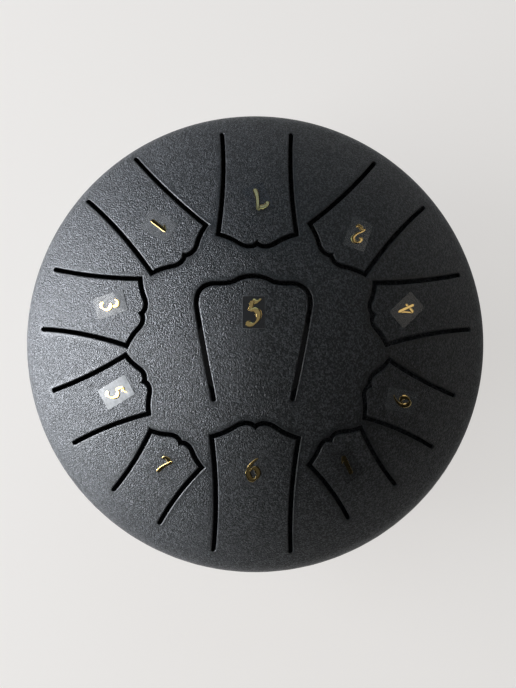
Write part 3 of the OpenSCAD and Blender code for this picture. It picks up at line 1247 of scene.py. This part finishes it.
@dataclass(frozen=True)
class RubberFoot:
    """A push-in foot: a pad under the dome, a neck through it and a barb.

    Lip, throat, mouth and ledge are rings beside the pad's radius, the
    neck's, the neck's and the barb's: a step outwards and a height over the
    dome's outer skin, for the first two, or its inner one.
    """

    number: int
    count: int
    dome: Dome
    circle_r: float = 52.0
    height: float = 11.0
    top_d: float = 20.0
    base_d: float = 17.0
    edge: float = 1.5
    edge_steps: int = 6
    flare_steps: int = 8
    flare_power: float = 1.6
    flare_gap: float = 1.2
    hole_d: float = 8.0
    clear: float = 0.1
    barb_d: float = 11.5
    barb_tip_d: float = 7.0
    barb_h: float = 5.0
    barb_steps: int = 4
    barb_power: float = 1.5
    sole_inset: float = 1.0
    tip_inset: float = 0.5
    lip: tuple[Pair, ...] = ((-0.12, -0.9), (0.0, -0.5), (-0.15, -0.12), (-0.6, 0.0))
    throat: tuple[Pair, ...] = ((0.5, 0.0), (0.0, 0.2))
    mouth: tuple[Pair, ...] = ((0.0, -0.2), (0.3, 0.0))
    ledge: tuple[Pair, ...] = ((-0.4, 0.0), (0.0, 0.35))
    around: int = 96

    def profile(self) -> list[tuple[float, float, Datum]]:
        """Radius, height and datum of each ring, from the sole to the tip.

        Returns:
            Radius, height over its datum and datum of each ring.
        """
        base, top, e = self.base_d / 2, self.top_d / 2, self.edge
        neck, barb, tip = self.hole_d / 2 - self.clear, self.barb_d / 2, self.barb_tip_d / 2
        floor, outer, inner, rest = Datum
        flat = (0.0, base - e - self.sole_inset, base - e)
        rings = [(radius, 0.0, floor) for radius in flat]
        for k in range(1, self.edge_steps + 1):
            angle = math.pi / 2 * k / self.edge_steps
            rings.append((base - e + e * math.sin(angle), e - e * math.cos(angle), floor))
        for k in range(1, self.flare_steps):
            share = k / self.flare_steps
            radius = base + (top - base) * share**self.flare_power
            rings.append((radius, e + (self.height - e - self.flare_gap) * share, floor))
        runs = (
            (top, self.lip, outer),
            (neck, self.throat, outer),
            (neck, self.mouth, inner),
            (barb, self.ledge, inner),
        )
        rings += [(radius + out, level, datum) for radius, run, datum in runs for out, level in run]
        for k in range(self.barb_steps + 1):
            share = k / self.barb_steps
            radius = barb + (tip - barb) * share**self.barb_power
            rings.append((radius, self.barb_h / 2 * (1 + share), rest))
        return rings + [(radius, self.barb_h, rest) for radius in (tip - self.tip_inset, 0.0)]

    def datum_height(self, plan: np.ndarray, datum: Datum) -> np.ndarray | float:
        """Height over the floor of what a ring is measured from.

        Args:
            plan: Plan points of the ring.
            datum: What the ring's height is measured from.

        Returns:
            One height for the whole ring, or one for each point.
        """
        if datum is Datum.FLOOR:
            return 0.0
        if datum is Datum.BARB:
            return self.height + self.dome.steel
        return self.dome.place(plan, self.dome.steel if datum is Datum.INNER_SKIN else 0.0)[:, 2]

    def build(self) -> bpy.types.Object:
        """Builds the foot: its profile carried round the foot's own axis.

        Returns:
            The piece.
        """
        parts, rows, poles = MeshParts(), [], []
        bearing = 2 * math.pi * (self.number - 0.5) / self.count
        middle = self.circle_r * np.array([math.cos(bearing), math.sin(bearing)])
        ring = circle(self.around)
        profile = self.profile()
        slopes = np.gradient(np.array([[r, h] for r, h, _ in profile]), axis=0)
        for (radius, level, datum), slope in zip(profile, slopes):
            plan = middle + ring * radius
            points = raised(plan, self.datum_height(plan, datum) + level)
            if radius == 0.0:
                up = 1.0 if rows else -1.0
                poles.append(parts.add(points[:1], np.array([[0.0, 0.0, up]]), 0.0))
                continue
            lean = unit(np.array([slope[1], -slope[0]]))
            rows.append(parts.add(points, raised(ring * lean[0], lean[1]), 0.0))
        parts.strip(rows)
        parts.fan(poles[0], rows[0], flip=True)
        parts.fan(poles[1], rows[-1], flip=False)
        return parts.write(f"rubber_foot_{self.number}", "grain")


@dataclass
class NodeTree:
    """Short hand for filling a shader node tree."""

    tree: bpy.types.NodeTree

    def add(self, kind: str, **values: object) -> bpy.types.Node:
        """Adds a node and sets its properties or sockets.

        Args:
            kind: Name of the node's type.
            values: Properties, or default values of input sockets whose name
                is given with underscores for spaces.

        Returns:
            The node.
        """
        node = self.tree.nodes.new(kind)
        for key, value in values.items():
            if hasattr(node, key):
                setattr(node, key, value)
            else:
                node.inputs[key.replace("_", " ")].default_value = value
        return node

    def link(self, source: bpy.types.NodeSocket, target: bpy.types.NodeSocket) -> None:
        """Links an output to an input."""
        self.tree.links.new(source, target)

    def math(self, operation: str, first: object, second: object = 0.0) -> bpy.types.NodeSocket:
        """Adds a Math node whose inputs are sockets or numbers.

        Args:
            operation: Name of the operation.
            first: First input.
            second: Second input.

        Returns:
            The output.
        """
        node = self.add("ShaderNodeMath", operation=operation)
        for socket, value in zip(node.inputs, (first, second)):
            if isinstance(value, (int, float)):
                socket.default_value = value
            else:
                self.link(value, socket)
        return node.outputs[0]

    def blend(
        self, share: bpy.types.NodeSocket, first: Colour, second: Colour
    ) -> bpy.types.NodeSocket:
        """Mixes two colours by a share of the second.

        Args:
            share: Share of the second colour.
            first: First colour.
            second: Second colour.

        Returns:
            The mixed colour.
        """
        node = self.add("ShaderNodeMix", data_type="RGBA")
        node.inputs[MIX_FIRST].default_value = (*first, 1.0)
        node.inputs[MIX_SECOND].default_value = (*second, 1.0)
        self.link(share, node.inputs[0])
        return node.outputs[MIX_RESULT]

    def place(self) -> bpy.types.NodeSocket:
        """Gives the Object coordinates."""
        return self.add("ShaderNodeTexCoord").outputs["Object"]

    def mask(self, name: str) -> bpy.types.NodeSocket:
        """Reads one of the piece's own point attributes."""
        return self.add("ShaderNodeAttribute", attribute_name=name).outputs["Fac"]

    def noise(self, scale: float, detail: float) -> bpy.types.NodeSocket:
        """Adds a noise on Object coordinates.

        Args:
            scale: Waves for each metre.
            detail: Number of finer layers.

        Returns:
            The noise's value.
        """
        node = self.add("ShaderNodeTexNoise", Scale=scale, Detail=detail)
        self.link(self.place(), node.inputs["Vector"])
        return node.outputs["Fac"]

    def bump(
        self, shader: bpy.types.Node, height: bpy.types.NodeSocket, strength: float, depth: float
    ) -> None:
        """Bends a shader's normal by a height.

        Args:
            shader: Shader that takes the bent normal.
            height: Height of the relief.
            strength: Share of the relief that shows.
            depth: Length of a height of one.
        """
        node = self.add("ShaderNodeBump", Strength=strength, Distance=depth)
        self.link(height, node.inputs["Height"])
        self.link(node.outputs["Normal"], shader.inputs["Normal"])


@dataclass(frozen=True)
class SandGrain:
    """Node group: the sandy grain of a powder coat.

    Height is a pebbled relief about 0, and Fleck picks out single grains.
    Scales are in grains, and shares are what each pattern adds to the height.
    """

    coarse_scale: float = 0.8
    fine_scale: float = 2.3
    pebble_scale: float = 0.9
    coarse_share: float = 0.6
    fine_share: float = 0.15
    dimple_share: float = 0.35
    mean: float = 0.27
    fleck_from: float = 0.35
    fleck_to: float = 0.8

    def build(self) -> bpy.types.NodeTree:
        """Makes the group once.

        Returns:
            The node group.
        """
        group = bpy.data.node_groups.new("sand_grain", "ShaderNodeTree")
        face = group.interface
        face.new_socket("Vector", in_out="INPUT", socket_type="NodeSocketVector")
        for name, value in (("Grain Size", 0.001), ("Fade", 1.0)):
            socket = face.new_socket(name, in_out="INPUT", socket_type="NodeSocketFloat")
            socket.default_value = value
        for name in ("Height", "Fleck"):
            face.new_socket(name, in_out="OUTPUT", socket_type="NodeSocketFloat")
        nodes = NodeTree(group)
        inlet, outlet = nodes.add("NodeGroupInput"), nodes.add("NodeGroupOutput")
        fade = inlet.outputs["Fade"]
        scale = nodes.math("DIVIDE", 1.0, inlet.outputs["Grain Size"])
        coarse = nodes.add("ShaderNodeTexNoise", Detail=2.0, Roughness=0.55, Distortion=0.1)
        fine = nodes.add("ShaderNodeTexNoise", Detail=1.0, Roughness=0.5)
        pebble = nodes.add("ShaderNodeTexVoronoi", feature="SMOOTH_F1", Smoothness=0.6)
        scales = ((coarse, self.coarse_scale), (fine, self.fine_scale), (pebble, self.pebble_scale))
        for node, factor in scales:
            nodes.link(inlet.outputs["Vector"], node.inputs["Vector"])
            nodes.link(nodes.math("MULTIPLY", scale, factor), node.inputs["Scale"])
        rough = nodes.math("MULTIPLY", coarse.outputs["Fac"], self.coarse_share)
        smooth = nodes.math("MULTIPLY", fine.outputs["Fac"], self.fine_share)
        dimple = nodes.math("MULTIPLY", pebble.outputs["Distance"], self.dimple_share)
        height = nodes.math("SUBTRACT", nodes.math("ADD", rough, smooth), dimple)
        height = nodes.math("SUBTRACT", height, self.mean)
        fleck = nodes.add("ShaderNodeMapRange", From_Min=self.fleck_from, From_Max=self.fleck_to)
        nodes.link(pebble.outputs["Color"], fleck.inputs["Value"])
        for name, value in (("Height", height), ("Fleck", fleck.outputs["Result"])):
            nodes.link(nodes.math("MULTIPLY", value, fade), outlet.inputs[name])
        return group


@dataclass(frozen=True)
class Finish:
    """Values that every finish has.

    Lengths in a finish are metres, and scales are waves for each metre.
    """

    name: str
    colour: Colour
    roughness: float

    def start(self) -> tuple[bpy.types.Material, NodeTree, bpy.types.Node]:
        """Makes the material with its shader and output.

        Returns:
            The material, its nodes and its shader.
        """
        material = bpy.data.materials.new(self.name)
        material.use_nodes = True
        material.node_tree.nodes.clear()
        nodes = NodeTree(material.node_tree)
        colour = (*self.colour, 1.0)
        shader = nodes.add("ShaderNodeBsdfPrincipled", Base_Color=colour, Roughness=self.roughness)
        output = nodes.add("ShaderNodeOutputMaterial")
        nodes.link(shader.outputs["BSDF"], output.inputs["Surface"])
        return material, nodes, shader


@dataclass(frozen=True)
class PowderCoat(Finish):
    """Black powder coat with a fine sandy grain, smoother on cut edges."""

    fleck: Colour = (0.088, 0.092, 0.099)
    fleck_roughness: float = -0.06
    grain: float = 0.0006
    relief: float = 0.0008

    def build(self, sand: bpy.types.NodeTree) -> bpy.types.Material:
        """Makes the material around the grain's node group.

        Args:
            sand: The grain's node group.

        Returns:
            The material.
        """
        material, nodes, shader = self.start()
        group = nodes.add("ShaderNodeGroup", node_tree=sand, Grain_Size=self.grain)
        fleck = group.outputs["Fleck"]
        nodes.link(nodes.place(), group.inputs["Vector"])
        nodes.link(nodes.mask("grain"), group.inputs["Fade"])
        nodes.link(nodes.blend(fleck, self.colour, self.fleck), shader.inputs["Base Color"])
        gloss = nodes.math("MULTIPLY", fleck, self.fleck_roughness)
        nodes.link(nodes.math("ADD", gloss, self.roughness), shader.inputs["Roughness"])
        nodes.bump(shader, group.outputs["Height"], 1.0, self.relief)
        return material


@dataclass(frozen=True)
class ClearFilm(Finish):
    """Clear glossy film over the coat, with slight waves, cloudy patches, painted reflection and
    painted shade.
    """

    ior: float = 1.5
    haze_and_reflection_colour: Colour = (0.27, 0.275, 0.28)
    haze_roughness: float = 0.15
    cloud_scale: float = 420.0
    cloud_from: Pair = (0.3, 0.7)
    cloud_to: Pair = (0.7, 1.15)
    edge_paling: float = 0.5
    edge_cover: float = 0.25
    wave_scale: float = 260.0
    wave_strength: float = 0.35
    wave_depth: float = 0.0002

    def build(self) -> bpy.types.Material:
        """Makes the material.

        Returns:
            The material.
        """
        material, nodes, shader = self.start()
        shader.inputs["IOR"].default_value = self.ior
        edge, haze_and_reflection, cover = (nodes.mask(name) for name in ("edge", "haze_and_reflection", "cover"))
        (from_low, from_high), (to_low, to_high) = self.cloud_from, self.cloud_to
        patch = nodes.add("ShaderNodeMapRange", From_Min=from_low, From_Max=from_high,
                          To_Min=to_low, To_Max=to_high)
        nodes.link(nodes.noise(self.cloud_scale, 3.0), patch.inputs["Value"])
        # The haze share mixes the film's real cloudiness with a painted reflection of the window.
        # The film is also paler along its rim.
        milk_and_reflection = nodes.math("MULTIPLY", haze_and_reflection, patch.outputs["Result"])
        cloud_and_reflection = nodes.math("MAXIMUM", milk_and_reflection, nodes.math("MULTIPLY", edge, self.edge_paling))
        gloss = nodes.math("ADD", nodes.math("MULTIPLY", milk_and_reflection, self.haze_roughness), self.roughness)
        hiding = nodes.math("MAXIMUM", cover, nodes.math("MULTIPLY", edge, self.edge_cover))
        # The grey haze colour stands for cloudiness and painted reflection at once. The near black
        # film colour, which cover shows as alpha, is partly painted shade over the coat.
        clouded_and_reflected = nodes.blend(cloud_and_reflection, self.colour, self.haze_and_reflection_colour)
        for name, value in (("Base Color", clouded_and_reflected), ("Roughness", gloss), ("Alpha", hiding)):
            nodes.link(value, shader.inputs[name])
        wave = nodes.noise(self.wave_scale, 1.0)
        nodes.bump(shader, wave, self.wave_strength, self.wave_depth)
        return material


@dataclass(frozen=True)
class GoldFoil(Finish):
    """Thin gold foil, satin and slightly uneven."""

    shade: Colour = (0.5, 0.3, 0.08)
    shade_share: float = 0.6
    mottle_scale: float = 900.0
    strength: float = 0.3
    depth: float = 0.00005

    def build(self) -> bpy.types.Material:
        """Makes the material.

        Returns:
            The material.
        """
        material, nodes, shader = self.start()
        shader.inputs["Metallic"].default_value = 1.0
        mottle = nodes.noise(self.mottle_scale, 2.0)
        share = nodes.math("MULTIPLY", mottle, self.shade_share)
        nodes.link(nodes.blend(share, self.colour, self.shade), shader.inputs["Base Color"])
        nodes.bump(shader, mottle, self.strength, self.depth)
        return material


@dataclass(frozen=True)
class Rubber(Finish):
    """Moulded black rubber with a fine matt skin and some dust."""

    dust: Colour = (0.07, 0.068, 0.064)
    dust_share: float = 0.5
    dust_scale: float = 160.0
    skin_scale: float = 2600.0
    strength: float = 0.7
    depth: float = 0.00005

    def build(self) -> bpy.types.Material:
        """Makes the material.

        Returns:
            The material.
        """
        material, nodes, shader = self.start()
        share = nodes.math("MULTIPLY", nodes.noise(self.dust_scale, 4.0), self.dust_share)
        nodes.link(nodes.blend(share, self.colour, self.dust), shader.inputs["Base Color"])
        nodes.bump(shader, nodes.noise(self.skin_scale, 1.0), self.strength, self.depth)
        return material


@dataclass(frozen=True)
class SoftLight:
    """A rectangular lamp that faces the drum's middle.

    Bearing is counter-clockwise from +X and elevation is over the horizon, in
    degrees. Sizes are metres and the power is watts.
    """

    name: str
    bearing: float
    elevation: float
    width: float
    height: float
    power: float
    colour: Colour = WHITE
    distance: float = 1.6

    def build(self, aim: Vector) -> bpy.types.Object:
        """Makes the lamp.

        Args:
            aim: The drum's middle, in metres.

        Returns:
            The lamp.
        """
        lamp = bpy.data.lights.new(self.name, "AREA")
        lamp.shape = "RECTANGLE"
        lamp.size, lamp.size_y = self.width, self.height
        lamp.energy, lamp.color = self.power, self.colour
        lit = bpy.data.objects.new(self.name, lamp)
        bpy.context.scene.collection.objects.link(lit)
        turn, rise = math.radians(self.bearing), math.radians(self.elevation)
        flat = math.cos(rise)
        back = Vector((math.cos(turn) * flat, math.sin(turn) * flat, math.sin(rise)))
        lit.location = aim + back * self.distance
        lit.rotation_euler = (-back).to_track_quat("-Z", "Y").to_euler()
        return lit


@dataclass(frozen=True)
class Studio:
    """Pale floor, soft light from windows on the left, and the camera.

    The camera's eye is millimetres from the seam's middle. What the floor
    shows of its own colour, for the camera and in reflections, is given by
    the glow and mirror shares. The floor has a dark disc of painted shade
    under the sound hole, which stands for the shade inside the drum. The
    sizes of floor and painted shade, and the distances between which the
    camera sees, are metres.
    """

    seam_z: float
    eye: Triple = (-10.14, -39.69, 698.8)
    sensor: float = 36.0
    lens: float = 65.64
    roll: float = 0.12
    shift: Pair = (0.0033, -0.0028)
    clip: Pair = (0.01, 50.0)
    floor_radii: tuple[float, ...] = (0.3, 0.6, 1.2, 2.4, 4.0, 6.0)
    floor_around: int = 96
    floor_colour: Colour = (0.92, 0.895, 0.87)
    floor_roughness: float = 0.7
    glow_share: float = 0.66
    mirror_share: float = 0.1
    painted_shade_r: float = 0.048
    painted_shade_colour: Colour = (0.004, 0.004, 0.004)
    sky: Colour = (0.007, 0.007, 0.007)
    lamps: tuple[SoftLight, ...] = (
        SoftLight("low_window", 180, 2, 1.2, 0.12, 71, (0.88, 0.92, 1.0)),
        SoftLight("mid_window", 180, 20, 1.2, 0.25, 5, (0.95, 0.97, 1.0)),
        SoftLight("high_window", 181, 28, 1.2, 0.4, 8.5),
        SoftLight("side_window", 209, 8, 0.8, 0.35, 5, (0.92, 1.0, 0.9)),
        SoftLight("upper_window", 181, 45, 1.0, 0.4, 1.8, (0.95, 0.98, 1.0)),
        SoftLight("back_window", 90, 25, 1.0, 0.5, 0.8, (0.5, 0.7, 1.0)),
        SoftLight("back_wall", 90, 50, 1.0, 0.6, 1.6, (0.65, 0.9, 1.0)),
        SoftLight("right_curtain", 20, 25, 1.4, 0.5, 1.8, (1.0, 0.9, 0.8)),
        SoftLight("front_wall", -90, 42, 1.0, 0.6, 0.1, (1.0, 0.97, 0.93)),
        SoftLight("ceiling", 180, 80, 1.4, 1.4, 1.5),
    )

    def camera(self) -> bpy.types.Object:
        """Makes the camera at the photograph's viewing angle.

        Returns:
            The camera.
        """
        data = bpy.data.cameras.new("view")
        data.sensor_width, data.lens = self.sensor, self.lens
        data.shift_x, data.shift_y = self.shift
        data.clip_start, data.clip_end = self.clip
        eye = bpy.data.objects.new("view", data)
        bpy.context.scene.collection.objects.link(eye)
        back = Vector(self.eye).normalized()
        across = Vector((0, 1, 0)).cross(back).normalized()
        turn = Matrix((across, back.cross(across), back)).transposed().to_4x4()
        place = Matrix.Translation((Vector(self.eye) + Vector((0, 0, self.seam_z))) * MM)
        eye.matrix_world = place @ turn @ Matrix.Rotation(math.radians(self.roll), 4, "Z")
        bpy.context.scene.camera = eye
        return eye

    def floor_finish(self) -> bpy.types.Material:
        """Makes the floor's material: pale from above with a disc of painted shade, clear from
        below.

        Returns:
            The material.
        """
        finish = Finish("pale_floor", self.floor_colour, self.floor_roughness)
        material, nodes, shader = finish.start()
        away = nodes.add("ShaderNodeVectorMath", operation="LENGTH")
        nodes.link(nodes.place(), away.inputs[0])
        # Painted shade: the floor is painted dark in a disc under the sound hole, where the drum's
        # inside would shade it.
        in_painted_shade = nodes.math("LESS_THAN", away.outputs["Value"], self.painted_shade_r)
        colour = nodes.blend(in_painted_shade, self.floor_colour, self.painted_shade_colour)
        pale = nodes.add("ShaderNodeEmission", Strength=1.0)
        for socket in (shader.inputs["Base Color"], pale.inputs["Color"]):
            nodes.link(colour, socket)
        path = nodes.add("ShaderNodeLightPath").outputs
        mirrored = nodes.math("MULTIPLY", path["Is Glossy Ray"], self.mirror_share)
        seen = nodes.math("MAXIMUM", path["Is Camera Ray"], mirrored)
        seen = nodes.math("MAXIMUM", seen, path["Is Transmission Ray"])
        glow = nodes.math("MULTIPLY", seen, self.glow_share)
        back = nodes.add("ShaderNodeNewGeometry").outputs["Backfacing"]
        clear = nodes.add("ShaderNodeBsdfTransparent").outputs["BSDF"]
        surface = shader.outputs["BSDF"]
        for share, other in ((glow, pale.outputs["Emission"]), (back, clear)):
            mix = nodes.add("ShaderNodeMixShader")
            for socket, value in zip(mix.inputs, (share, surface, other)):
                nodes.link(value, socket)
            surface = mix.outputs["Shader"]
        nodes.link(surface, material.node_tree.nodes["Material Output"].inputs["Surface"])
        return material

    def floor(self) -> bpy.types.Object:
        """Makes the floor: a disc of rings round its middle.

        Returns:
            The floor.
        """
        radii, n = np.array(self.floor_radii), self.floor_around
        rings = radii[:, None, None] * raised(circle(n))[None]
        points = np.concatenate([np.zeros((1, 3)), rings.reshape(-1, 3)])
        rows = 1 + np.arange(len(radii) * n).reshape(-1, n)
        quads = strip_quads(rows, closed=True)[:, ::-1]
        fan = [[0, int(a), int(b)] for a, b in zip(rows[0], np.roll(rows[0], -1))]
        mesh = bpy.data.meshes.new("floor")
        mesh.from_pydata(points.tolist(), [], fan + quads.tolist())
        mesh.materials.append(self.floor_finish())
        disc = bpy.data.objects.new("floor", mesh)
        bpy.context.scene.collection.objects.link(disc)
        return disc

    def build(self) -> None:
        """Makes the whole studio."""
        scene = bpy.context.scene
        scene.view_settings.view_transform = "Standard"
        world = bpy.data.worlds.new("room")
        world.use_nodes = True
        world.node_tree.nodes["Background"].inputs["Color"].default_value = (*self.sky, 1.0)
        scene.world = world
        self.floor()
        aim = Vector((0, 0, self.seam_z * MM))
        for lamp in self.lamps:
            lamp.build(aim)
        self.camera()


@dataclass
class TongueDrum:
    """The whole drum: both domes, the weld, the feet, tongues and films."""

    feet: int = 4
    foot_circle_r: float = 52.0
    foot_hole_d: float = 8.0
    foot_hole_points: int = 48
    sound_hole_d: float = 70.0
    sound_hole_points: int = 144
    steel: float = 2.0
    shoulder_r: float = 20.0
    weld_gap: float = 1.6
    weld_proud: float = 0.3
    profile: EdgeProfile = EdgeProfile()

    def __post_init__(self) -> None:
        """Reads the drum's outer sizes from the frame and mixes the finishes.

        The crown's top is in the middle tongue, and the weld gives the rest.
        """
        low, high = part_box("seam_weld")
        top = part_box("tongue_low_5")[1].z / MM
        seam = (low.z + high.z) / 2 / MM
        radius = round(high.x / MM - self.weld_proud, 1)
        rise = round(top - seam, 1)
        sizes = (radius, rise, self.shoulder_r, self.steel, seam, self.weld_gap / 2)
        self.upper = Dome(Side.UPPER, *sizes)
        self.lower = Dome(Side.LOWER, *sizes)
        sand = SandGrain().build()
        self.finishes = {
            Slot.COAT: PowderCoat("powder_coat", (0.0135, 0.0147, 0.0166), 0.42).build(sand),
            Slot.FILM: ClearFilm("clear_film", (0.014, 0.015, 0.017), 0.06).build(),
            Slot.FOIL: GoldFoil("gold_foil", (0.88, 0.69, 0.31), 0.17).build(),
            Slot.RUBBER: Rubber("rubber", (0.018, 0.018, 0.018), 0.72).build(),
        }

    def fit(self, piece: bpy.types.Object, body: str, slot: Slot, *nodes: str) -> None:
        """Dresses a piece and lets it ride on its body in place of its nodes.

        Args:
            piece: The finished piece.
            body: Name of the body that it moves with.
            slot: Material slot that gives its finish.
            nodes: CAD nodes that it stands for.
        """
        piece.data.materials.append(self.finishes[slot])
        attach(piece, body)
        if nodes:
            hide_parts(*nodes)
        log.info("%s: %d vertices on %s", piece.name, len(piece.data.vertices), body)

    def hole_loops(self, centre: Pair, radius: float, points: int) -> list[np.ndarray]:
        """Plan loops of a round hole at each row of the edge's profile."""
        rows = self.profile.rows()
        return [np.array(centre) + circle(points) * (radius + row.offset) for row in rows]

    def build_shells(self) -> None:
        """Builds the two domes and the weld between them."""
        openings, grains = [], []
        for layout in LAYOUTS.values():
            outline = layout.outline()
            loops = [outline.opening_loop(row.offset) for row in self.profile.rows()]
            openings.append([layout.to_plan(loop) for loop in loops])
            grains.append(outline.opening_grain())
        top = PiercedDome(self.upper, self.profile).build("upper_dome", openings, grains)
        self.fit(top, SHELL_BODY, Slot.COAT, "top_shell")
        holes = [self.hole_loops((0, 0), self.sound_hole_d / 2, self.sound_hole_points)]
        for centre in self.foot_circle_r * circle(self.feet, 0.5):
            holes.append(self.hole_loops(centre, self.foot_hole_d / 2, self.foot_hole_points))
        kept = [EDGE_GRAIN] * len(holes)
        bottom = PiercedDome(self.lower, self.profile).build("lower_dome", holes, kept)
        self.fit(bottom, SHELL_BODY, Slot.COAT, "bottom_shell")
        bead = SeamBead(self.upper, proud=self.weld_proud, gap=self.weld_gap)
        self.fit(bead.build(), SHELL_BODY, Slot.COAT, "seam_weld")

    def build_feet(self) -> None:
        """Builds the four push-in feet."""
        for number in range(1, self.feet + 1):
            foot = RubberFoot(
                number, self.feet, self.lower, self.foot_circle_r, hole_d=self.foot_hole_d
            )
            self.fit(foot.build(), SHELL_BODY, Slot.RUBBER, f"foot_{number}")

    def build_tongues(self) -> None:
        """Builds each tongue with its film and its numeral."""
        for note, layout in LAYOUTS.items():
            body = f"tongue_{note.value}"
            tongue = Tongue(note, layout, self.upper, self.profile)
            self.fit(tongue.build(), body, Slot.COAT, body)
            film = NumberFilm(note, layout, self.upper, STICKING[note])
            self.fit(film.build(), body, Slot.FILM, f"sticker_{note.value}")
            self.fit(Numeral(film).build(), body, Slot.FOIL)


def main() -> None:
    """Builds the drum and its studio."""
    logging.basicConfig(level=logging.INFO, format="%(name)s: %(message)s")
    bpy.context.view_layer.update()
    drum = TongueDrum()
    drum.build_shells()
    drum.build_feet()
    drum.build_tongues()
    Studio(drum.upper.seam_z).build()
    bpy.context.view_layer.update()


if __name__ == "__main__":
    main()
